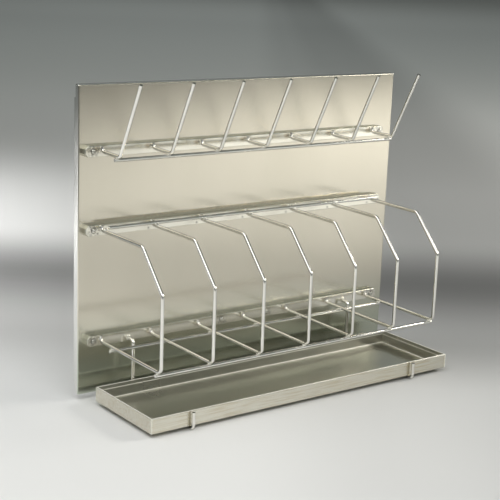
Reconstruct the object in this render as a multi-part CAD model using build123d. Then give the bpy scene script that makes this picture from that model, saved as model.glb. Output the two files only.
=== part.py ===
from build123d import *
import os

# Wall rack for bedpans and urine bottles, with a lift-out drip tray.
# Millimetres. X runs along the rack, the front faces -Y and +Z is up.
# The origin is on the floor under the middle of the whole rack.
#
# Every place below is given as x from the middle of the panel, "out" as the
# distance in front of the panel face, and z above the tray hangers' feet.

# ---- driving dimensions -------------------------------------------------
WIRE_D = 6.0             # round wire of every hook, divider, rod and hanger
GAP = 0.3                # clearance between pieces that come apart

# back panel
PANEL_SHEET = 1.0
PANEL_W = 700.0
PANEL_H = 537.0
PANEL_BOTTOM = 10.0
FLANGE_DEPTH = 13.5
PANEL_BEND_R = 2.5
NOTCH_H = 22.0           # shallower ends of the side flanges
NOTCH_DEPTH = 4.0
LIP_W = 20.0             # inward lips behind the top and bottom flanges
LIP_INSET = 30.0
WALL_HOLE_R = 3.25
WALL_HOLE_INSET = 50.0   # from the panel's side to a wall hole

# rails
RAIL_SHEET = 1.5
RAIL_MARGIN = 19.0       # how much shorter a rail is than the panel, at each end
RAIL_H = 19.0
RAIL_DEPTH = 12.0
RAIL_CLIP = 5.5
TOP_RAIL_X, TOP_RAIL_Z = -12.0, 437.0
MIDDLE_RAIL_X, MIDDLE_RAIL_Z = -10.5, 302.0
BOTTOM_RAIL_X, BOTTOM_RAIL_Z = -6.5, 107.0
UPPER_SCREW_INSETS = (15.0, 10.0)    # from the left and right ends of the top and middle rails
LOWER_SCREW_INSETS = (12.0, 13.0)    # the same on the bottom rail
INNER_SCREW_OFFSETS = (-49.5, 53.5)  # from the bottom rail's middle

# screws and nuts, M4
SCREW_R = 2.0
SCREW_HOLE_R = 2.25
SCREW_HEAD_R = 4.0
SCREW_HEAD_H = 2.6
SCREW_TIP = 1.6          # thread left showing past the nut
RECESS_R = 1.1
RECESS_DEPTH = 1.2
NUT_ACROSS_FLATS = 7.0
NUT_H = 3.2

# urinal hooks: heights from the top rail's middle, places as (out, height)
HOOK_COUNT = 7
HOOK_INSETS = (30.8, 31.2)           # first and last hook from the rail's ends
HOOK_END = 8.0                       # top of the short end that lies on the rail
HOOK_RUN = -0.5
HOOK_FRONT = (72.0, -1.6)
HOOK_TIP = (133.5, 122.0)
HOOK_BEND_R = 6.0
HOOK_ROD_OUT = 64.0
HOOK_ROD_ENDS = (5.8, 4.2)           # past the first and last hook

# bedpan dividers: heights from the middle rail's or the bottom rail's middle
DIVIDER_COUNT = 7
DIVIDER_INSETS = (29.3, 26.7)        # first and last divider from the middle rail's ends
DIVIDER_END = 8.0
DIVIDER_RUN = 0.5
DIVIDER_SHOULDER = (145.6, -0.5)
DIVIDER_ELBOW = (208.2, -69.0)
DIVIDER_TOE = (208.2, -2.4)          # this and what follows from the bottom rail
DIVIDER_HEEL = -1.0
DIVIDER_FOOT_END = 9.0
DIVIDER_BENDS = (6.0, 10.0, 8.0, 10.0, 6.0)      # root, shoulder, elbow, toe, heel
TOP_ROD_OUT = 27.0
TOP_ROD_ENDS = (-6.2, 7.2)           # past the first and last divider
REAR_ROD_OUT = 55.0
REAR_ROD_ENDS = (5.8, 4.2)
FRONT_ROD_OUT = 198.0
FRONT_ROD_ENDS = (4.8, 5.2)

# drip tray
TRAY_L = 662.0
TRAY_W = 179.0
TRAY_H = 27.5
TRAY_X = -2.6
TRAY_REAR_OUT = 36.3
TRAY_SHEET = 1.2
TRAY_HEM_W = 3.0
TRAY_HEM_H = 8.0
TRAY_BEND_R = 3.0

# tray hangers
HANGER_INSETS = (81.5, 87.5)         # from the bottom rail's ends
HANGER_ROOT = -4.0                   # from the bottom rail's middle
HANGER_BEND_R = 8.0
REAR_CLEARANCE = 3.9                 # between the tray and the hanger behind it
FRONT_CLEARANCE = 3.4                # between the tray and its front stops
STOP_BELOW_RIM = 1.1

# ---- derived places -----------------------------------------------------
WIRE_R = WIRE_D / 2
RAIL_L = PANEL_W - 2 * RAIL_MARGIN
PANEL_TOP = PANEL_BOTTOM + PANEL_H
ROOT_OUT = RAIL_DEPTH + WIRE_R       # middle of a wire welded along a rail's face
TRAY_Z = WIRE_D + GAP                # the tray lies on the hangers' feet
HANGER_DROP_OUT = TRAY_REAR_OUT - REAR_CLEARANCE - WIRE_R
HANGER_STOP_OUT = TRAY_REAR_OUT + TRAY_W + FRONT_CLEARANCE + WIRE_R
FACE_Y = (HANGER_STOP_OUT + WIRE_R - FLANGE_DEPTH) / 2


def between(rail_x, insets):
    """Two places in x, at given distances from a rail's ends."""
    left, right = insets
    return rail_x - RAIL_L / 2 + left, rail_x + RAIL_L / 2 - right


def past(xs, ends):
    """A rod's two ends, past the first and last wire that it joins."""
    return xs[0] - ends[0], xs[-1] + ends[1]


def spread(first, last, count):
    """Evenly spaced places from first to last."""
    return [first + k * (last - first) / (count - 1) for k in range(count)]


RAILS = {                # name: (middle x, middle z, screw places in x)
    "top_rail": (TOP_RAIL_X, TOP_RAIL_Z, between(TOP_RAIL_X, UPPER_SCREW_INSETS)),
    "middle_rail": (MIDDLE_RAIL_X, MIDDLE_RAIL_Z, between(MIDDLE_RAIL_X, UPPER_SCREW_INSETS)),
    "bottom_rail": (BOTTOM_RAIL_X, BOTTOM_RAIL_Z, between(BOTTOM_RAIL_X, LOWER_SCREW_INSETS)
                    + tuple(BOTTOM_RAIL_X + offset for offset in INNER_SCREW_OFFSETS)),
}
HOOK_XS = spread(*between(TOP_RAIL_X, HOOK_INSETS), HOOK_COUNT)
DIVIDER_XS = spread(*between(MIDDLE_RAIL_X, DIVIDER_INSETS), DIVIDER_COUNT)
HANGER_XS = between(BOTTOM_RAIL_X, HANGER_INSETS)


def at(x, out, z):
    """A point given by its distance in front of the panel face."""
    return Vector(x, FACE_Y - out, z)


def slab(x0, x1, out0, out1, z0, z1):
    """A box between two values of x, out and z."""
    size = (x1 - x0, out1 - out0, z1 - z0)
    middle = at((x0 + x1) / 2, (out0 + out1) / 2, (z0 + z1) / 2)
    return Pos(middle) * Box(*size)


def rod_along_y(x, z, radius, out0, out1):
    """A cylinder square to the panel."""
    middle = at(x, (out0 + out1) / 2, z)
    return Pos(middle) * Rot(90, 0, 0) * Cylinder(radius, out1 - out0)


def wire(points, bend_r):
    """Round wire through the points, its corners bent to one or several radii."""
    path = FilletPolyline(*points, radius=bend_r)
    section = Plane(origin=path @ 0, z_dir=path % 0) * Circle(WIRE_R)
    return sweep(section, path=path)


def cross_rod(ends, out, z):
    """Straight wire along X."""
    return Pos(at(sum(ends) / 2, out, z)) * Rot(0, 90, 0) * Cylinder(WIRE_R, ends[1] - ends[0])


def run_z(start, end, out):
    """Height of a straight run of wire at a given distance out."""
    share = (out - start[0]) / (end[0] - start[0])
    return start[1] + share * (end[1] - start[1])


def screw_places():
    """Every rail screw as (x, z)."""
    return [(x, z) for _, z, xs in RAILS.values() for x in xs]


# ---- back panel: a shallow pan, open to the wall ------------------------
def make_panel():
    half = PANEL_W / 2
    pan = slab(-half, half, -FLANGE_DEPTH, 0, PANEL_BOTTOM, PANEL_TOP)
    face = pan.faces().sort_by(Axis.Y)[0]
    pan = fillet(face.edges() + pan.edges().filter_by(Axis.Y), PANEL_BEND_R)
    hollow = slab(-half + PANEL_SHEET, half - PANEL_SHEET, -FLANGE_DEPTH - 1, -PANEL_SHEET,
                  PANEL_BOTTOM + PANEL_SHEET, PANEL_TOP - PANEL_SHEET)
    inner_face = hollow.faces().sort_by(Axis.Y)[0]
    inner_edges = inner_face.edges() + hollow.edges().filter_by(Axis.Y)
    pan -= fillet(inner_edges, PANEL_BEND_R - PANEL_SHEET)
    notch_out = (-FLANGE_DEPTH - 1, -FLANGE_DEPTH + NOTCH_DEPTH)
    for side in (-1, 1):
        notch_x = sorted((side * (half - PANEL_BEND_R), side * (half + 1)))
        pan -= slab(*notch_x, *notch_out, PANEL_BOTTOM - 1, PANEL_BOTTOM + NOTCH_H)
        pan -= slab(*notch_x, *notch_out, PANEL_TOP - NOTCH_H, PANEL_TOP + 1)
    lip_half = half - LIP_INSET
    lip_out = (-FLANGE_DEPTH, -FLANGE_DEPTH + PANEL_SHEET)
    low_lip = PANEL_BOTTOM + PANEL_SHEET / 2
    high_lip = PANEL_TOP - PANEL_SHEET / 2 - LIP_W
    for z in (low_lip, high_lip):
        pan += slab(-lip_half, lip_half, *lip_out, z, z + LIP_W)
        for x in (-half + WALL_HOLE_INSET, half - WALL_HOLE_INSET):
            pan -= rod_along_y(x, z + LIP_W / 2, WALL_HOLE_R, lip_out[0] - 1, lip_out[1] + 1)
    for x, z in screw_places():
        pan -= rod_along_y(x, z, SCREW_HOLE_R, -PANEL_SHEET - 1, 1)
    return pan


# ---- rails: shallow channels with clipped corners -----------------------
def make_rail(mid_x, mid_z, screw_xs):
    frame = Plane(origin=at(mid_x, 0, mid_z), x_dir=(1, 0, 0), z_dir=(0, -1, 0))
    outline = Rectangle(RAIL_L, RAIL_H)
    outline = chamfer(outline.vertices(), RAIL_CLIP)
    pocket = Rectangle(RAIL_L - 2 * RAIL_SHEET, RAIL_H - 2 * RAIL_SHEET)
    pocket = chamfer(pocket.vertices(), RAIL_CLIP - 0.6 * RAIL_SHEET)
    rail = extrude(frame * outline, RAIL_DEPTH)
    front = rail.faces().sort_by(Axis.Y)[0]
    rail = fillet(front.edges(), 0.6 * RAIL_SHEET)
    rail -= extrude(frame * pocket, RAIL_DEPTH - RAIL_SHEET)
    for x in screw_xs:
        rail -= rod_along_y(x, mid_z, SCREW_HOLE_R, RAIL_DEPTH - RAIL_SHEET - 1, RAIL_DEPTH + 1)
    return rail


# ---- screws through rail and panel, nuts behind -------------------------
def make_screw(x, z):
    shank = rod_along_y(x, z, SCREW_R, -PANEL_SHEET - NUT_H - SCREW_TIP, RAIL_DEPTH + 0.5)
    head = rod_along_y(x, z, SCREW_HEAD_R, RAIL_DEPTH, RAIL_DEPTH + SCREW_HEAD_H)
    head = fillet(head.edges().sort_by(Axis.Y)[0], SCREW_HEAD_H * 0.7)
    recess = rod_along_y(x, z, RECESS_R, RAIL_DEPTH + SCREW_HEAD_H - RECESS_DEPTH,
                         RAIL_DEPTH + SCREW_HEAD_H + 1)
    return shank + head - recess


def make_nut(x, z):
    frame = Plane(origin=at(x, -PANEL_SHEET, z), x_dir=(1, 0, 0), z_dir=(0, 1, 0))
    hexagon = RegularPolygon(NUT_ACROSS_FLATS / 2, 6, major_radius=False)
    nut = extrude(frame * hexagon, NUT_H)
    return nut - rod_along_y(x, z, SCREW_R + 0.02, -PANEL_SHEET - NUT_H - 1,
                            -PANEL_SHEET + 1)


# ---- bent wires ---------------------------------------------------------
def on_rail(rail_z, place):
    """(out, z) of a place given by its distance out and its height from a rail's middle."""
    return place[0], rail_z + place[1]


HOOK_ROOT = on_rail(TOP_RAIL_Z, (ROOT_OUT, HOOK_RUN))
DIVIDER_ROOT = on_rail(MIDDLE_RAIL_Z, (ROOT_OUT, DIVIDER_RUN))
DIVIDER_LOW = on_rail(BOTTOM_RAIL_Z, (ROOT_OUT, DIVIDER_HEEL))


def make_hook(x):
    places = [on_rail(TOP_RAIL_Z, (ROOT_OUT, HOOK_END)), HOOK_ROOT,
              on_rail(TOP_RAIL_Z, HOOK_FRONT), on_rail(TOP_RAIL_Z, HOOK_TIP)]
    return wire([at(x, *place) for place in places], HOOK_BEND_R)


def make_divider(x):
    places = [on_rail(MIDDLE_RAIL_Z, (ROOT_OUT, DIVIDER_END)), DIVIDER_ROOT,
              on_rail(MIDDLE_RAIL_Z, DIVIDER_SHOULDER), on_rail(MIDDLE_RAIL_Z, DIVIDER_ELBOW),
              on_rail(BOTTOM_RAIL_Z, DIVIDER_TOE), DIVIDER_LOW,
              on_rail(BOTTOM_RAIL_Z, (ROOT_OUT, DIVIDER_FOOT_END))]
    return wire([at(x, *place) for place in places], DIVIDER_BENDS)


def make_hanger(x):
    root_z = BOTTOM_RAIL_Z + HANGER_ROOT
    stop_z = TRAY_Z + TRAY_H - STOP_BELOW_RIM
    places = [(RAIL_DEPTH, root_z), (HANGER_DROP_OUT, root_z), (HANGER_DROP_OUT, WIRE_R),
              (HANGER_STOP_OUT, WIRE_R), (HANGER_STOP_OUT, stop_z)]
    return wire([at(x, *place) for place in places], HANGER_BEND_R)


# ---- drip tray: folded pan with a hem turned in round its rim -----------
def make_tray():
    x0, x1 = TRAY_X - TRAY_L / 2, TRAY_X + TRAY_L / 2
    out0, out1 = TRAY_REAR_OUT, TRAY_REAR_OUT + TRAY_W
    z0, z1 = TRAY_Z, TRAY_Z + TRAY_H
    body = slab(x0, x1, out0, out1, z0, z1)
    body = fillet(body.faces().sort_by(Axis.Z)[0].edges(), TRAY_BEND_R)
    t = TRAY_SHEET
    well = slab(x0 + t, x1 - t, out0 + t, out1 - t, z0 + t, z1 + 5)
    body -= fillet(well.faces().sort_by(Axis.Z)[0].edges(), TRAY_BEND_R - t)
    h = TRAY_HEM_W
    hem = slab(x0, x1, out0, out1, z1 - TRAY_HEM_H, z1)
    hem -= slab(x0 + h, x1 - h, out0 + h, out1 - h, z1 - TRAY_HEM_H - 1, z1 + 1)
    tray = body + hem
    top_edges = tray.faces().sort_by(Axis.Z)[-1].edges()
    return fillet(top_edges, 0.9)


# ---- write one file for each node ---------------------------------------
os.makedirs("parts", exist_ok=True)
nodes = {"back_panel": make_panel()}
for name, (mid_x, mid_z, screw_xs) in RAILS.items():
    nodes[name] = make_rail(mid_x, mid_z, screw_xs)
nodes["rail_screws"] = Compound(children=[make_screw(x, z) for x, z in screw_places()])
nodes["rail_nuts"] = Compound(children=[make_nut(x, z) for x, z in screw_places()])
for k, x in enumerate(HOOK_XS, 1):
    nodes[f"urinal_hook_{k}"] = make_hook(x)
for k, x in enumerate(DIVIDER_XS, 1):
    nodes[f"bedpan_divider_{k}"] = make_divider(x)

hook_rod_z = run_z(HOOK_ROOT, on_rail(TOP_RAIL_Z, HOOK_FRONT), HOOK_ROD_OUT) - WIRE_D
top_rod_z = run_z(DIVIDER_ROOT, on_rail(MIDDLE_RAIL_Z, DIVIDER_SHOULDER), TOP_ROD_OUT) + WIRE_D
divider_floor = (DIVIDER_LOW, on_rail(BOTTOM_RAIL_Z, DIVIDER_TOE))
rear_rod_z = run_z(*divider_floor, REAR_ROD_OUT) - WIRE_D
front_rod_z = run_z(*divider_floor, FRONT_ROD_OUT) - WIRE_D
nodes["hook_rod"] = cross_rod(past(HOOK_XS, HOOK_ROD_ENDS), HOOK_ROD_OUT, hook_rod_z)
nodes["basket_top_rod"] = cross_rod(past(DIVIDER_XS, TOP_ROD_ENDS), TOP_ROD_OUT, top_rod_z)
nodes["basket_rear_rod"] = cross_rod(past(DIVIDER_XS, REAR_ROD_ENDS), REAR_ROD_OUT, rear_rod_z)
nodes["basket_front_rod"] = cross_rod(past(DIVIDER_XS, FRONT_ROD_ENDS), FRONT_ROD_OUT, front_rod_z)
for side, x in zip(("left", "right"), HANGER_XS):
    nodes[f"tray_hanger_{side}"] = make_hanger(x)
nodes["drip_tray"] = make_tray()

for name, shape in nodes.items():
    export_step(shape, f"parts/{name}.step")
    box = shape.bounding_box()
    print(f"{name:20s} solids {len(shape.solids())} volume {shape.volume:10.0f}",
          f"x {box.min.X:7.1f} {box.max.X:7.1f} y {box.min.Y:7.1f} {box.max.Y:7.1f}",
          f"z {box.min.Z:6.1f} {box.max.Z:6.1f}")
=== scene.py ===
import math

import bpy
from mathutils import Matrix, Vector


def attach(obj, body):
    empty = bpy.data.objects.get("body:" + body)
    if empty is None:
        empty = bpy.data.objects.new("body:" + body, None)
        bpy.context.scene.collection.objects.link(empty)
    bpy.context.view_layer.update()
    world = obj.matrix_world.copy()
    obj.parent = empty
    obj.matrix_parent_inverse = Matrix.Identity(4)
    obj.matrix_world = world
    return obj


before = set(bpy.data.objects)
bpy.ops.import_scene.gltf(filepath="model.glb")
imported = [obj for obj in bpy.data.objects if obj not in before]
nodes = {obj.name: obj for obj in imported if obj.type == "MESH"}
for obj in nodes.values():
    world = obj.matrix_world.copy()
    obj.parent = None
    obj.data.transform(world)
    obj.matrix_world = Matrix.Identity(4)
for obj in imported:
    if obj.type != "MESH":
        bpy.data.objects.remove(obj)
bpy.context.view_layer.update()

# %% [markdown]
# # A wire rack in stainless steel
#
# The object is an open wall rack: a folded sheet panel with three rails, rows of bent round wire and a
# loose drip tray. Its shape is already exact, so this lesson is about finish. Steel is the hardest of
# plain materials to fake, because nearly all that the eye sees in it is a reflection of something else.
# So the room around the rack matters as much as the nodes in its materials.

# %% [markdown]
# ## The camera comes first
#
# The view is from the front left and a little above, with a long lens, so the lines of the rack hardly
# converge. The camera is set down at a measured place and turned by three plain angles: a yaw about the
# upright axis, a tilt down from the horizon, and a small roll, because the picture isn't quite level.
# It comes first because every reflection depends on where the eye is.

# %% Camera
CAMERA_PLACE = Vector((-1.342, -1.699, 0.769))
CAMERA_YAW = -36.9        # degrees, towards the rack's right end
CAMERA_TILT = 13.48       # degrees below the horizon
CAMERA_ROLL = 2.14
LENS_MM = 89.65           # on a 36 mm wide sensor

yaw = Matrix.Rotation(math.radians(CAMERA_YAW), 4, "Z")
tilt = Matrix.Rotation(math.radians(90 - CAMERA_TILT), 4, "X")
roll = Matrix.Rotation(math.radians(CAMERA_ROLL), 4, "Z")
camera = bpy.data.objects.new("camera", bpy.data.cameras.new("camera"))
bpy.context.scene.collection.objects.link(camera)
camera.matrix_world = Matrix.Translation(CAMERA_PLACE) @ yaw @ tilt @ roll
camera.data.lens = LENS_MM
camera.data.sensor_width = 36
bpy.context.scene.camera = camera
print("camera at", tuple(round(v, 3) for v in camera.location))

# %% [markdown]
# ## Small tools for node materials
#
# Every finish here is built from the same few steps, so each step is a small function. `feed` saves the
# most typing: it sets a socket to a plain value, or links it when it is given another node's output.
# With it, a node for arithmetic takes one line, just as in a formula.

# %% Sockets and arithmetic
def feed(tree, socket, value):
    """Gives a socket a number, a colour, a vector or another node's output."""
    if isinstance(value, bpy.types.NodeSocket):
        tree.links.new(value, socket)
    elif socket.type == "RGBA":
        socket.default_value = (*value, 1)
    else:
        socket.default_value = value


def calculate(tree, operation, *values):
    """One step of arithmetic."""
    node = tree.nodes.new("ShaderNodeMath")
    node.operation = operation
    for socket, value in zip(node.inputs, values):
        feed(tree, socket, value)
    return node.outputs["Value"]


def on_vectors(tree, operation, *vectors):
    """One step of arithmetic on vectors; lengths, distances and dot products come out as numbers."""
    node = tree.nodes.new("ShaderNodeVectorMath")
    node.operation = operation
    for socket, vector in zip(node.inputs, vectors):
        feed(tree, socket, vector)
    gives_number = operation in ("LENGTH", "DISTANCE", "DOT_PRODUCT")
    return node.outputs["Value" if gives_number else "Vector"]


def split(tree, coords):
    """A place's X, Y and Z as three numbers."""
    node = tree.nodes.new("ShaderNodeSeparateXYZ")
    feed(tree, node.inputs["Vector"], coords)
    return node.outputs


def remap(tree, value, low, high, to_low, to_high):
    """Stretches a value's range from low..high to another one, clamped."""
    node = tree.nodes.new("ShaderNodeMapRange")
    for name, number in (("From Min", low), ("From Max", high), ("To Min", to_low), ("To Max", to_high)):
        node.inputs[name].default_value = number
    feed(tree, node.inputs["Value"], value)
    return node.outputs["Result"]


def mix(tree, factor, first, second, kind="MIX", data_type="RGBA"):
    """Mixes two colours, or two numbers, by a factor."""
    node = tree.nodes.new("ShaderNodeMix")
    node.data_type = data_type
    node.blend_type = kind
    feed(tree, node.inputs["Factor"], factor)
    feed(tree, node.inputs["A"], first)
    feed(tree, node.inputs["B"], second)
    return node.outputs["Result"]


print("tools for sockets:", [tool.__name__ for tool in (feed, calculate, on_vectors, split, remap, mix)])

# %% [markdown]
# Patterns hang on the object's own coordinates, which lie in metres, so a scratch gets its real width.
# `stretched_noise` pulls a noise long on one axis and short on the others. The rest are masks, 1 where a
# mark is and 0 elsewhere: a spot, a row of spots and a band. The row lets the coordinates start again at
# every pitch along X, so one spot becomes many without a copy.

# %% Patterns and masks
def stretched_noise(tree, coords, scale, detail=4.0, shift=(0, 0, 0)):
    """A noise whose cells are 1/scale metres long on each axis."""
    mapping = tree.nodes.new("ShaderNodeMapping")
    mapping.inputs["Scale"].default_value = scale
    mapping.inputs["Location"].default_value = shift
    feed(tree, mapping.inputs["Vector"], coords)
    noise = tree.nodes.new("ShaderNodeTexNoise")
    noise.inputs["Scale"].default_value = 1.0
    noise.inputs["Detail"].default_value = detail
    noise.inputs["Roughness"].default_value = 0.6
    feed(tree, noise.inputs["Vector"], mapping.outputs["Vector"])
    return noise.outputs["Fac"]


def spot(tree, coords, centre, inner, outer):
    """1 within `inner` metres of a point, falling to 0 at `outer`."""
    distance = on_vectors(tree, "DISTANCE", coords, centre)
    return remap(tree, distance, inner, outer, 1.0, 0.0)


def spot_row(tree, coords, centre, inner, outer, pitch):
    """A spot round a point, and its equals at every pitch along X."""
    parts = split(tree, coords)
    wrapped = calculate(tree, "WRAP", parts["X"], centre[0] + pitch / 2, centre[0] - pitch / 2)
    joined = tree.nodes.new("ShaderNodeCombineXYZ")
    for axis, value in (("X", wrapped), ("Y", parts["Y"]), ("Z", parts["Z"])):
        feed(tree, joined.inputs[axis], value)
    return spot(tree, joined.outputs["Vector"], centre, inner, outer)


def band(tree, value, low, high, soft=0.0003):
    """1 between two values and 0 outside them."""
    rising = remap(tree, value, low - soft, low + soft, 0.0, 1.0)
    falling = remap(tree, value, high - soft, high + soft, 1.0, 0.0)
    return calculate(tree, "MULTIPLY", rising, falling)


print("patterns:", [tool.__name__ for tool in (stretched_noise, spot, spot_row, band)])

# %% [markdown]
# A finish starts as a plain metal shader. Stains, and painted highlights and shade, are then mixed over
# its colour one after another, as dirt is laid over steel. `round_edges` bends the light at every fold as
# if it had a small radius, which is what makes a sheet's edge glint; the mesh itself keeps its exact
# shape.

# %% Surfaces
def start_finish(name, colour, roughness, metallic=1.0):
    """A new material with its shader, and the object's coordinates to hang patterns on."""
    finish = bpy.data.materials.new(name)
    finish.use_nodes = True
    tree = finish.node_tree
    shader = tree.nodes["Principled BSDF"]
    feed(tree, shader.inputs["Base Color"], colour)
    feed(tree, shader.inputs["Metallic"], metallic)
    feed(tree, shader.inputs["Roughness"], roughness)
    coords = tree.nodes.new("ShaderNodeTexCoord").outputs["Object"]
    return finish, tree, shader, coords


def shader_of(finish):
    """The shader of a finish, to build on it further."""
    return finish.node_tree.nodes["Principled BSDF"]


def coords_of(finish):
    """The object's coordinates in a finish."""
    return finish.node_tree.nodes["Texture Coordinate"].outputs["Object"]


def stain_and_painted_light_over(finish, mask, colour, strength):
    """Mixes a colour into a finish where the mask is 1: a stain, or a painted highlight, reflection or
    shade.
    """
    tree = finish.node_tree
    base = shader_of(finish).inputs["Base Color"]
    amount = calculate(tree, "MULTIPLY", mask, strength)
    feed(tree, base, mix(tree, amount, base.links[0].from_socket, colour))


def round_edges(tree, shader, radius):
    """Lets light catch the sheet's edges as if each were rounded off by this radius."""
    node = tree.nodes.new("ShaderNodeBevel")
    node.samples = 6
    node.inputs["Radius"].default_value = radius
    feed(tree, shader.inputs["Normal"], node.outputs["Normal"])


print("surfaces:", [tool.__name__ for tool in (start_finish, stain_and_painted_light_over, round_edges)])

# %% [markdown]
# ## Brushed sheet
#
# Sheet steel is brushed with an abrasive belt, whose scratches are short across the belt and very long
# along it. A reflection in such a surface stays sharp along the grain and smears across it. The shader's
# anisotropic setting does that once a tangent gives it the direction. The tangent leans between two axes,
# because a face that it stands upright on would turn black.

# %% Brushed sheet
def sheet_steel(name, colour, stain, grain_scale, roughness, anisotropy, blur_axis, edge=0.001):
    """Brushed sheet: long fine scratches, soft cloudy stains, and highlights drawn across the grain."""
    finish, tree, shader, coords = start_finish(name, colour, roughness[0])
    scratches = stretched_noise(tree, coords, grain_scale, detail=3.0)
    clouds = stretched_noise(tree, coords, (7, 7, 5), detail=3.0, shift=(3, 1, 2))
    dull = tuple(0.9 * part for part in colour)
    base = mix(tree, remap(tree, clouds, 0.35, 0.7, 0.0, 0.45), colour, stain)
    base = mix(tree, remap(tree, scratches, 0.35, 0.7, 0.0, 0.35), base, dull)
    feed(tree, shader.inputs["Base Color"], base)
    feed(tree, shader.inputs["Roughness"], remap(tree, clouds, 0.3, 0.7, *roughness))
    shader.inputs["Anisotropic"].default_value = anisotropy
    tangent = tree.nodes.new("ShaderNodeCombineXYZ")
    for axis, value in zip("XYZ", blur_axis):
        tangent.inputs[axis].default_value = value
    feed(tree, shader.inputs["Tangent"], tangent.outputs["Vector"])
    round_edges(tree, shader, edge)
    return finish


GRAIN = 1100              # scratches per metre across the grain
print("a scratch is about", round(1000 / GRAIN, 2), "mm wide")

# %% [markdown]
# The frame's nodes come with a slot for one finish each. Some need two, where one piece of steel was
# worked in two ways, so faces can also be chosen by their place and normal and get a slot of their own.

# %% Painting the frame's nodes
def paint(name, finish):
    """Gives one node of the frame its finish."""
    piece = nodes[name]
    if not piece.material_slots:
        piece.data.materials.append(finish)
    for material_slot in piece.material_slots:
        material_slot.material = finish


def paint_faces(name, finish, wanted):
    """Gives some faces of a node a finish of their own, in one more material slot."""
    mesh = nodes[name].data
    mesh.materials.append(finish)
    chosen = [face for face in mesh.polygons if wanted(face.center, face.normal)]
    for face in chosen:
        face.material_index = len(mesh.materials) - 1
    print(name, finish.name, "faces:", len(chosen), "of", len(mesh.polygons))


print("nodes to paint:", len(nodes))

# %% [markdown]
# ## The back panel
#
# The panel is one folded sheet with its grain running up and down, which draws the rack's reflections out
# sideways. Its foot is painted darker and greener, fading out upwards: a painted reflection of the dark
# tray in front of it.

# %% The panel's face
FACE_Y = 0.1056           # the panel's front face
# painted reflection: the panel's foot is darkened and greened where the dark tray would show in it
FOOT_REFLECTION_TINT = (0.56, 0.61, 0.52)
FOOT_REFLECTION_FULL, FOOT_REFLECTION_END = 0.05, 0.16     # heights where the painted reflection is full, and where it ends

panel_steel = sheet_steel("brushed_panel", (0.785, 0.74, 0.635), (0.735, 0.695, 0.585),
                          grain_scale=(GRAIN, GRAIN, 9), roughness=(0.205, 0.22),
                          anisotropy=0.85, blur_axis=(0.8, 0.6, 0))
tree = panel_steel.node_tree
height = split(tree, coords_of(panel_steel))["Z"]
foot_reflection_mask = remap(tree, height, FOOT_REFLECTION_FULL, FOOT_REFLECTION_END, 1.0, 0.0)
stain_and_painted_light_over(panel_steel, foot_reflection_mask, FOOT_REFLECTION_TINT, 0.85)
paint("back_panel", panel_steel)
print("panel finish:", panel_steel.name, "nodes:", len(tree.nodes))

# %% [markdown]
# The folded flanges round the panel weren't brushed again after folding, so they mirror the room more
# sharply: the top one stays dark and the left one shines. The shine is partly real reflection and partly
# a painted highlight, because their steel is whiter than the panel's. They are faces of the same node, so
# they only get a second material slot.

# %% The panel's flanges
# painted highlight: the flanges' steel is whiter than the panel's
flange_steel = sheet_steel("folded_flange", (0.86, 0.86, 0.84), (0.80, 0.80, 0.77),
                           grain_scale=(GRAIN, 9, GRAIN), roughness=(0.10, 0.16),
                           anisotropy=0.0, blur_axis=(0.8, 0.6, 0), edge=0.0003)
paint_faces("back_panel", flange_steel, lambda place, normal: abs(normal.y) < 0.5)

# %% [markdown]
# ## The drip tray
#
# The tray is folded from sheet with its grain running along it. Where it is folded, at the floor and
# under the hem, a highlight is painted as a dull line, which is bright under a soft lamp where a mirror
# would be dark. A small function paints such lines: less metallic, rougher and paler.

# %% Painted highlight lines
HIGHLIGHT_COLOUR = (0.92, 0.90, 0.81)
HIGHLIGHT_ROUGHNESS = 0.5
BLOOM = (0.50, 0.39, 0.22)         # heat and old water leave the same yellow-brown


def paint_highlight_line(finish, mask, metallic):
    """Paints a highlight: turns a finish into a duller, paler one where the mask is 1, which shows bright
    under a soft lamp.
    """
    tree = finish.node_tree
    shader = shader_of(finish)
    stain_and_painted_light_over(finish, mask, HIGHLIGHT_COLOUR, 1.0)
    feed(tree, shader.inputs["Metallic"], remap(tree, mask, 0, 1, 1.0, metallic))
    polish = shader.inputs["Roughness"].links[0].from_socket
    highlight_paint = mix(tree, mask, polish, HIGHLIGHT_ROUGHNESS, data_type="FLOAT")
    feed(tree, shader.inputs["Roughness"], highlight_paint)


print("rubbed steel:", HIGHLIGHT_COLOUR, "roughness:", HIGHLIGHT_ROUGHNESS)

# %% The tray's inside
FOLD_LINES = ((0.0080, 0.0100), (0.0256, 0.0276))     # heights of the painted highlight lines

# painted shade: the inside's steel is darker and greener than the outside's
tray_inside = sheet_steel("tray_inside", (0.565, 0.555, 0.49), (0.53, 0.51, 0.44),
                          grain_scale=(9, GRAIN, GRAIN), roughness=(0.27, 0.31),
                          anisotropy=0.2, blur_axis=(0, 0.8, 0.6), edge=0.0008)
tree = tray_inside.node_tree
coords = coords_of(tray_inside)
height = split(tree, coords)["Z"]
folds = [band(tree, height, low, high) for low, high in FOLD_LINES]
uneven = remap(tree, stretched_noise(tree, coords, (60, 60, 60)), 0.3, 0.6, 0.75, 1.0)
fold_mask = calculate(tree, "MULTIPLY", calculate(tree, "MAXIMUM", *folds), uneven)
paint_highlight_line(tray_inside, fold_mask, metallic=0.2)
print("fold lines at", FOLD_LINES)

# %% [markdown]
# Outside, a highlight line is painted up the upright corners too. Folding the coordinates over the tray's
# middle brings its four corners onto one, so a single distance marks them all. Faint brown streaks run
# along the sides.

# %% The tray's outside
TRAY_MIDDLE = Vector((-0.0026, -0.0202, 0))
TRAY_HALF = Vector((0.331, 0.0895, 0))
CORNER_LINE = (0.0012, 0.0022)     # how far from a corner the painted highlight line is full, and ends

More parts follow.
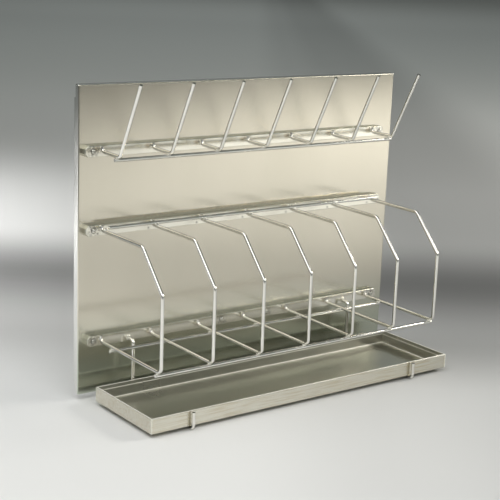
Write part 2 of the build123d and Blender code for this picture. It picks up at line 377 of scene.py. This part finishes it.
tray_outside = sheet_steel("tray_outside", (0.755, 0.735, 0.655), (0.71, 0.68, 0.56),
                           grain_scale=(9, GRAIN, GRAIN), roughness=(0.2, 0.26),
                           anisotropy=0.3, blur_axis=(0, 0.8, 0.6), edge=0.0012)
tree = tray_outside.node_tree
coords = coords_of(tray_outside)
one_quarter = on_vectors(tree, "ABSOLUTE", on_vectors(tree, "SUBTRACT", coords, TRAY_MIDDLE))
from_corner = on_vectors(tree, "SUBTRACT", one_quarter, TRAY_HALF)
distance = on_vectors(tree, "LENGTH", on_vectors(tree, "MULTIPLY", from_corner, (1, 1, 0)))
corner_line = remap(tree, distance, *CORNER_LINE, 1.0, 0.0)
paint_highlight_line(tray_outside, corner_line, metallic=0.3)
streaks = remap(tree, stretched_noise(tree, coords, (14, 300, 420), detail=5.0), 0.48, 0.60, 0.0, 1.0)
stain_and_painted_light_over(tray_outside, streaks, BLOOM, 0.4)
print("tray size:", tuple(round(2 * side, 3) for side in TRAY_HALF[:2]))

# %% [markdown]
# The hem's top is painted pale, nearly matt and less metallic, so it shows as an even line: a painted
# highlight. The tray's three finishes then go on by where its faces lie: the inside on all of them, the
# outside on the four sides and underneath, the rim on what looks up at the top.

# %% The tray's rim, and painting the tray
UNDERSIDE_Z, RIM_Z = 0.0085, 0.033
SHEET_NEAR = 0.0005       # a face this near the outline is on the outside

# painted highlight: a paler, rougher, less metallic rim top that shows as a bright line
tray_rim = sheet_steel("tray_rim", (0.86, 0.84, 0.77), (0.78, 0.76, 0.68),
                       grain_scale=(9, GRAIN, GRAIN), roughness=(0.4, 0.5),
                       anisotropy=0.0, blur_axis=(0, 0.8, 0.6), edge=0.001)
shader_of(tray_rim).inputs["Metallic"].default_value = 0.4


def on_tray_outside(place, normal):
    """Whether a face lies on one of the tray's four outer sides, or under it."""
    away = place - TRAY_MIDDLE
    side = abs(away.x) > TRAY_HALF.x - SHEET_NEAR or abs(away.y) > TRAY_HALF.y - SHEET_NEAR
    under = normal.z < -0.5 and place.z < UNDERSIDE_Z
    return side and abs(normal.z) < 0.5 or under


paint("drip_tray", tray_inside)
paint_faces("drip_tray", tray_outside, on_tray_outside)
paint_faces("drip_tray", tray_rim, lambda place, normal: normal.z > 0.5 and place.z > RIM_Z)

# %% [markdown]
# ## Rails
#
# The rails are shallow channels of the same sheet, with wires welded to them. Heat leaves a yellow-brown
# bloom beside each weld, and dirt gathers round the screws, with a ring of painted shade round each
# screw head. The blooms repeat with the wires, so each is a row of spots at the wires' pitch. The rails'
# steel is painted paler than the panel's, a painted highlight, and their ends get a darker finish of
# their own, a painted shade.

# %% Where the rails carry wires and screws
HOOK_FIRST, HOOK_PITCH = -0.3122, 0.100
DIVIDER_FIRST, DIVIDER_PITCH = -0.3122, 0.101
RAIL_FACE = FACE_Y - 0.012
DIRT_AND_SHADE = (0.16, 0.155, 0.13)
SCREWS = {"top_rail": (0.437, (-0.328, 0.309)), "middle_rail": (0.302, (-0.3265, 0.3105)),
          "bottom_rail": (0.107, (-0.3255, 0.3115, -0.056, 0.047))}   # height, then places along X
SCUFF_RADII = (0.006, 0.016)     # metres from a screw where its marks are full, and where they end
# a ring of painted shade round each screw head: full inside the first radius, gone at the second
SHADE_RING_RADII = (0.0045, 0.0062)
print("screws:", sum(len(screw_xs) for height, screw_xs in SCREWS.values()))

# %% Stains on the rails
# For each rail: first place along X, height, inner and outer radius, pitch, colour, strength.
WIRE_MARKS = {
    "top_rail": ((HOOK_FIRST - 0.010, 0.441, 0.001, 0.008, HOOK_PITCH, BLOOM, 0.6),
                 (HOOK_FIRST + 0.006, 0.4465, 0.001, 0.006, HOOK_PITCH, BLOOM, 0.45)),
    "middle_rail": ((DIVIDER_FIRST - 0.007, 0.2965, 0.001, 0.003, DIVIDER_PITCH, DIRT_AND_SHADE, 0.6),),
    "bottom_rail": ((DIVIDER_FIRST, 0.108, 0.003, 0.010, DIVIDER_PITCH, BLOOM, 0.3),)}


def stain_by_wires(rail, steel):
    """Rows of heat blooms beside the welds, or of dark specks under the dividers' tops."""
    for first, height, inner, outer, pitch, colour, strength in WIRE_MARKS[rail]:
        centre = (first, RAIL_FACE, height)
        marks = spot_row(steel.node_tree, coords_of(steel), centre, inner, outer, pitch)
        stain_and_painted_light_over(steel, marks, colour, strength)


def dirt_and_shade_by_screw(steel, screw_x, height, scuffs):
    """Scuffed dirt round a screw, and a ring of painted shade where its head meets the rail."""
    tree, coords = steel.node_tree, coords_of(steel)
    centre = (screw_x, RAIL_FACE, height)
    around = calculate(tree, "MULTIPLY", spot(tree, coords, centre, *SCUFF_RADII), scuffs)
    stain_and_painted_light_over(steel, around, DIRT_AND_SHADE, 0.6)
    # painted shade: a dark ring round the screw head
    stain_and_painted_light_over(steel, spot(tree, coords, centre, *SHADE_RING_RADII), DIRT_AND_SHADE, 0.75)


print("rows of marks:", {rail: len(rows) for rail, rows in WIRE_MARKS.items()})

# %% Painting the rails
# painted shade: the rails' ends are darker than their faces
shaded_end_steel = sheet_steel("rail_ends", (0.52, 0.52, 0.45), (0.45, 0.45, 0.38),
                        grain_scale=(20, GRAIN, GRAIN), roughness=(0.2, 0.3),
                        anisotropy=0.0, blur_axis=(0, 0.6, 0.8), edge=0.0008)
for rail, (height, screw_xs) in SCREWS.items():
    # painted highlight: the rails' steel is paler than the panel's, to brighten their faces
    steel = sheet_steel(rail + "_steel", (0.97, 0.945, 0.85), (0.88, 0.855, 0.76),
                        grain_scale=(20, GRAIN, GRAIN), roughness=(0.14, 0.22),
                        anisotropy=0.0, blur_axis=(0, 0.6, 0.8), edge=0.0012)
    tree = steel.node_tree
    scuffs = remap(tree, stretched_noise(tree, coords_of(steel), (260, 260, 200)), 0.47, 0.58, 0.0, 1.0)
    stain_by_wires(rail, steel)
    for screw_x in screw_xs:
        dirt_and_shade_by_screw(steel, screw_x, height, scuffs)
    paint(rail, steel)
    paint_faces(rail, shaded_end_steel, lambda place, normal: abs(normal.x) > 0.3)

# %% [markdown]
# ## Round wire
#
# Polished wire is the brightest thing here. It mirrors nearly the whole room in a strip a few
# millimetres wide, so a low roughness gives it a white core with dark lines beside it. A dark specular
# tint paints shade along the metal's edges, where it turns away from the eye; on the polished wire it is
# nearly black. A very shallow bump keeps the strip from being as straight as a ruler.

# %% Wire finish
def wire_steel(name, colour, roughness, edge_tint):
    """Drawn and polished round wire: bright, with a faint uneven polish."""
    finish, tree, shader, coords = start_finish(name, colour, roughness[0])
    polish = stretched_noise(tree, coords, (120, 120, 120), detail=3.0)
    clouds = stretched_noise(tree, coords, (18, 18, 18), detail=2.0, shift=(5, 0, 1))
    dull = tuple(0.8 * part for part in colour)
    base = mix(tree, remap(tree, clouds, 0.35, 0.7, 0.0, 0.5), colour, dull)
    feed(tree, shader.inputs["Base Color"], base)
    feed(tree, shader.inputs["Roughness"], remap(tree, polish, 0.3, 0.7, *roughness))
    feed(tree, shader.inputs["Specular Tint"], edge_tint)
    waves = tree.nodes.new("ShaderNodeBump")
    waves.inputs["Strength"].default_value = 1.0
    waves.inputs["Distance"].default_value = 0.00001
    feed(tree, waves.inputs["Height"], polish)
    feed(tree, shader.inputs["Normal"], waves.outputs["Normal"])
    return finish


# painted shade: a nearly black specular tint darkens the wire along its edges
polished_wire = wire_steel("polished_wire", (0.92, 0.905, 0.86), (0.04, 0.10), (0.05, 0.05, 0.04))
fixing_steel = wire_steel("fixing_steel", (0.66, 0.65, 0.60), (0.10, 0.24), (0.3, 0.3, 0.28))
print("wire finishes:", polished_wire.name, fixing_steel.name)

# %% Painting the wires, screws and nuts
wires = [name for name in nodes
         if name.startswith(("urinal_hook", "bedpan_divider", "tray_hanger")) or name.endswith("_rod")]
for name in wires:
    paint(name, polished_wire)
paint("rail_screws", fixing_steel)
paint("rail_nuts", fixing_steel)
print("wires painted:", len(wires))

# %% [markdown]
# ## Weld beads
#
# Each wire is welded to its rail, and each long rod to the seven wires that cross it. A real bead is a
# small uneven nugget squeezed between the two, so one ball is flattened and shaken a little, and copied
# to every crossing. About eighty faces are enough at this size. The copies of a row are joined into one
# piece, because welds never move on their own.

# %% One bead
def weld_bead(half_size, seed):
    """An uneven nugget of weld metal round the origin."""
    bpy.ops.object.select_all(action="DESELECT")
    bpy.ops.mesh.primitive_ico_sphere_add(subdivisions=2, radius=1.0)
    bpy.ops.object.mode_set(mode="EDIT")
    bpy.ops.mesh.select_all(action="SELECT")
    bpy.ops.transform.resize(value=half_size)
    bpy.ops.transform.vertex_random(offset=0.0005, seed=seed)
    bpy.ops.object.mode_set(mode="OBJECT")
    bpy.ops.object.shade_smooth()
    return bpy.context.object


crossing_bead = weld_bead((0.0046, 0.0036, 0.0026), seed=3)
root_bead = weld_bead((0.0045, 0.0026, 0.0052), seed=5)
print("faces of a bead:", len(crossing_bead.data.polygons))

# %% A row of beads
def weld_row(name, bead, places, finish):
    """Copies a bead to each place and joins the copies into one piece that rides on the rack."""
    copies = []
    for place in places:
        copy = bead.copy()
        copy.data = bead.data.copy()
        copy.data.transform(Matrix.Translation(place))
        bpy.context.scene.collection.objects.link(copy)
        copies.append(copy)
    bpy.ops.object.select_all(action="DESELECT")
    for copy in copies:
        copy.select_set(True)
    bpy.context.view_layer.objects.active = copies[0]
    bpy.ops.object.join()
    row = bpy.context.object
    row.name = name
    row.data.materials.append(finish)
    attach(row, "rack")
    print(name, "beads:", len(places), "faces:", len(row.data.polygons))


def at(x, out, z):
    """A place given by how far out of the panel's face it is."""
    return Vector((x, FACE_Y - out, z))


print("the panel's face:", tuple(round(v, 4) for v in at(0, 0, 0)))

# %% [markdown]
# The rows follow the wires. The long rods cross theirs at some distance from the panel, while every root
# sits on the face of its rail. One line for each row says all that differs, and a loop does the rest.

# %% All the welds
WIRES_IN_ROW = 7
ROOT_OUT = 0.0132         # 1.2 mm over the rails' faces, so a bead sinks in by half its radius
hook_xs = [HOOK_FIRST + HOOK_PITCH * count for count in range(WIRES_IN_ROW)]
divider_xs = [DIVIDER_FIRST + DIVIDER_PITCH * count for count in range(WIRES_IN_ROW)]
hanger_xs = (-0.256, 0.237)

# For each row: name, bead, how far out of the panel's face, height, places along X.
WELD_ROWS = (("hook_rod_welds", crossing_bead, 0.064, 0.4326, hook_xs),
             ("top_rod_welds", crossing_bead, 0.027, 0.3055, divider_xs),
             ("rear_rod_welds", crossing_bead, 0.055, 0.1027, divider_xs),
             ("front_rod_welds", crossing_bead, 0.198, 0.1017, divider_xs),
             ("hook_root_welds", root_bead, ROOT_OUT, 0.4405, hook_xs),
             ("divider_root_welds", root_bead, ROOT_OUT, 0.3065, divider_xs),
             ("divider_foot_welds", root_bead, ROOT_OUT, 0.1115, divider_xs),
             ("hanger_welds", root_bead, ROOT_OUT, 0.1045, hanger_xs))
weld_steel = wire_steel("weld_metal", (0.80, 0.78, 0.70), (0.16, 0.36), (0.3, 0.3, 0.26))
for name, bead, out, height, xs in WELD_ROWS:
    weld_row(name, bead, [at(x, out, height) for x in xs], weld_steel)
for pattern in (crossing_bead, root_bead):
    bpy.data.objects.remove(pattern)

# %% [markdown]
# ## The floor
#
# The rack stands on a pale paper floor that turns grey behind it. Steel shows whatever stands around it,
# so the floor in front matters too: the panel mirrors it, the top rows from far away and the low rows
# from close by. Its greys are painted light and shade: pools of lamplight, the shade between them and the
# bands of a backdrop behind. They run along two directions, straight back and to the right, and are
# multiplied.

# %% Soft greys along a direction
def along(tree, coords, way):
    """How far a place lies along a direction."""
    return on_vectors(tree, "DOT_PRODUCT", coords, way)


def tone_ramp(tree, value, stops, tint=(1, 1, 1)):
    """Soft greys between the stops, each a value and its grey."""
    start, end = stops[0][0], stops[-1][0]
    ramp = tree.nodes.new("ShaderNodeValToRGB")
    ramp.color_ramp.interpolation = "EASE"
    first, last = ramp.color_ramp.elements
    first.color = (*(stops[0][1] * part for part in tint), 1)
    last.color = (*(stops[-1][1] * part for part in tint), 1)
    for place, grey in stops[1:-1]:
        stop = ramp.color_ramp.elements.new((place - start) / (end - start))
        stop.color = (*(grey * part for part in tint), 1)
    feed(tree, ramp.inputs["Fac"], remap(tree, value, start, end, 0.0, 1.0))
    return ramp.outputs["Color"]


print("ramps:", [tool.__name__ for tool in (along, tone_ramp)])

# %% Floor
FLOOR_HALF = 45.0
BACK_WAY = (0.6, 0.8, 0.0)       # straight back from the picture's front edge
RIGHT_WAY = (0.8, -0.6, 0.0)     # to the picture's right
# painted light and shade on the floor: pools of lamplight, the shade between them, and backdrop bands
BACK_TONES = ((-1.9, 0.20), (-1.5, 0.42), (-1.15, 0.70), (-0.9, 0.86), (-0.4, 0.80), (-0.05, 0.77),
              (0.3, 0.45), (0.75, 0.17), (1.25, 0.52), (2.1, 0.60), (4.5, 0.80), (12.0, 0.50))
RIGHT_TONES = ((-0.1, 1.0), (0.2, 0.86), (0.45, 0.76), (0.75, 0.74), (1.15, 1.0))   # metres, grey

bpy.ops.object.select_all(action="DESELECT")
bpy.ops.mesh.primitive_grid_add(x_subdivisions=8, y_subdivisions=8, size=2 * FLOOR_HALF)
floor = bpy.context.object
floor.name = "studio_floor"

paper, tree, shader, coords = start_finish("studio_paper", (0.8, 0.8, 0.79), 0.75, metallic=0.0)
back_tone = tone_ramp(tree, along(tree, coords, BACK_WAY), BACK_TONES, tint=(1.0, 1.0, 0.985))
right_tone = tone_ramp(tree, along(tree, coords, RIGHT_WAY), RIGHT_TONES)
feed(tree, shader.inputs["Base Color"], mix(tree, 1.0, back_tone, right_tone, "MULTIPLY"))
floor.data.materials.append(paper)
print("floor:", tuple(round(side) for side in floor.dimensions))

# %% [markdown]
# ## Lamps
#
# All the lamps are large and soft. One hangs overhead on the left, one over the floor in front, and a
# warmer one at the front right draws the bright line on the middle rail. Two more stand behind: one
# lights the patch of floor that the left flange mirrors, the other gives the far background its glow.

# %% Lamps
def soft_lamp(name, place, aim, size, power, colour=(1, 1, 1), spread=180):
    """A rectangular area lamp at a place, turned to another one."""
    lamp = bpy.data.lights.new(name, "AREA")
    lamp.shape = "RECTANGLE"
    lamp.size, lamp.size_y = size
    lamp.energy = power
    lamp.color = colour
    lamp.spread = math.radians(spread)
    holder = bpy.data.objects.new(name, lamp)
    bpy.context.scene.collection.objects.link(holder)
    holder.location = place
    holder.rotation_euler = (Vector(aim) - Vector(place)).to_track_quat("-Z", "Y").to_euler()


soft_lamp("overhead_lamp", (-1.9, -0.4, 2.8), (-1.9, -0.4, 0), (3.6, 4.4), 98)
soft_lamp("ceiling_lamp", (-0.6, -4.4, 2.8), (-0.6, -4.4, 0), (4.0, 3.4), 54)
soft_lamp("front_lamp", (3.8, -1.5, 2.3), (3.8, -1.5, 0), (2.2, 1.8), 178, (1.0, 0.97, 0.91))
soft_lamp("back_lamp", (-1.0, 1.75, 1.5), (-1.0, 1.75, 0), (2.0, 0.9), 27, spread=90)
soft_lamp("far_lamp", (7.4, 11.0, 7.0), (7.4, 11.0, 0), (7.0, 9.0), 170, (0.93, 1.0, 0.99))
print("lamps:", [item.name for item in bpy.data.lights])

# %% [markdown]
# ## The room's walls
#
# Polished and folded metal also mirrors the walls of the room. In front they are soft bands in the world:
# pale near the horizon, dark above it, and dim overhead; behind the rack they are evenly dark. The bands
# are what draws the thin dark and light lines along the rails and the wires.

# %% Walls
WALL_TONES = ((-0.30, 0.50), (0.11, 0.56), (0.165, 0.40), (0.195, 0.09), (0.245, 0.09), (0.28, 0.26),
              (0.31, 0.25), (0.345, 0.17), (0.6, 0.17), (1.0, 0.17))     # sine of the height, grey
BEHIND = 0.11
ROOM_TINT = (0.92, 1.0, 0.93)
FRONT_WAY = (0.6, -0.8, 0.0)

world = bpy.data.worlds.new("studio_room")
bpy.context.scene.world = world
world.use_nodes = True
tree = world.node_tree
way = tree.nodes.new("ShaderNodeTexCoord").outputs["Generated"]
wall = tone_ramp(tree, along(tree, way, (0, 0, 1)), WALL_TONES, tint=ROOM_TINT)
in_front = remap(tree, along(tree, way, FRONT_WAY), -0.1, 0.4, 0.0, 1.0)
behind = tuple(BEHIND * part for part in ROOM_TINT)
feed(tree, tree.nodes["Background"].inputs["Color"], mix(tree, in_front, behind, wall))
bpy.context.scene.view_settings.view_transform = "Standard"
print("wall bands:", len(WALL_TONES))
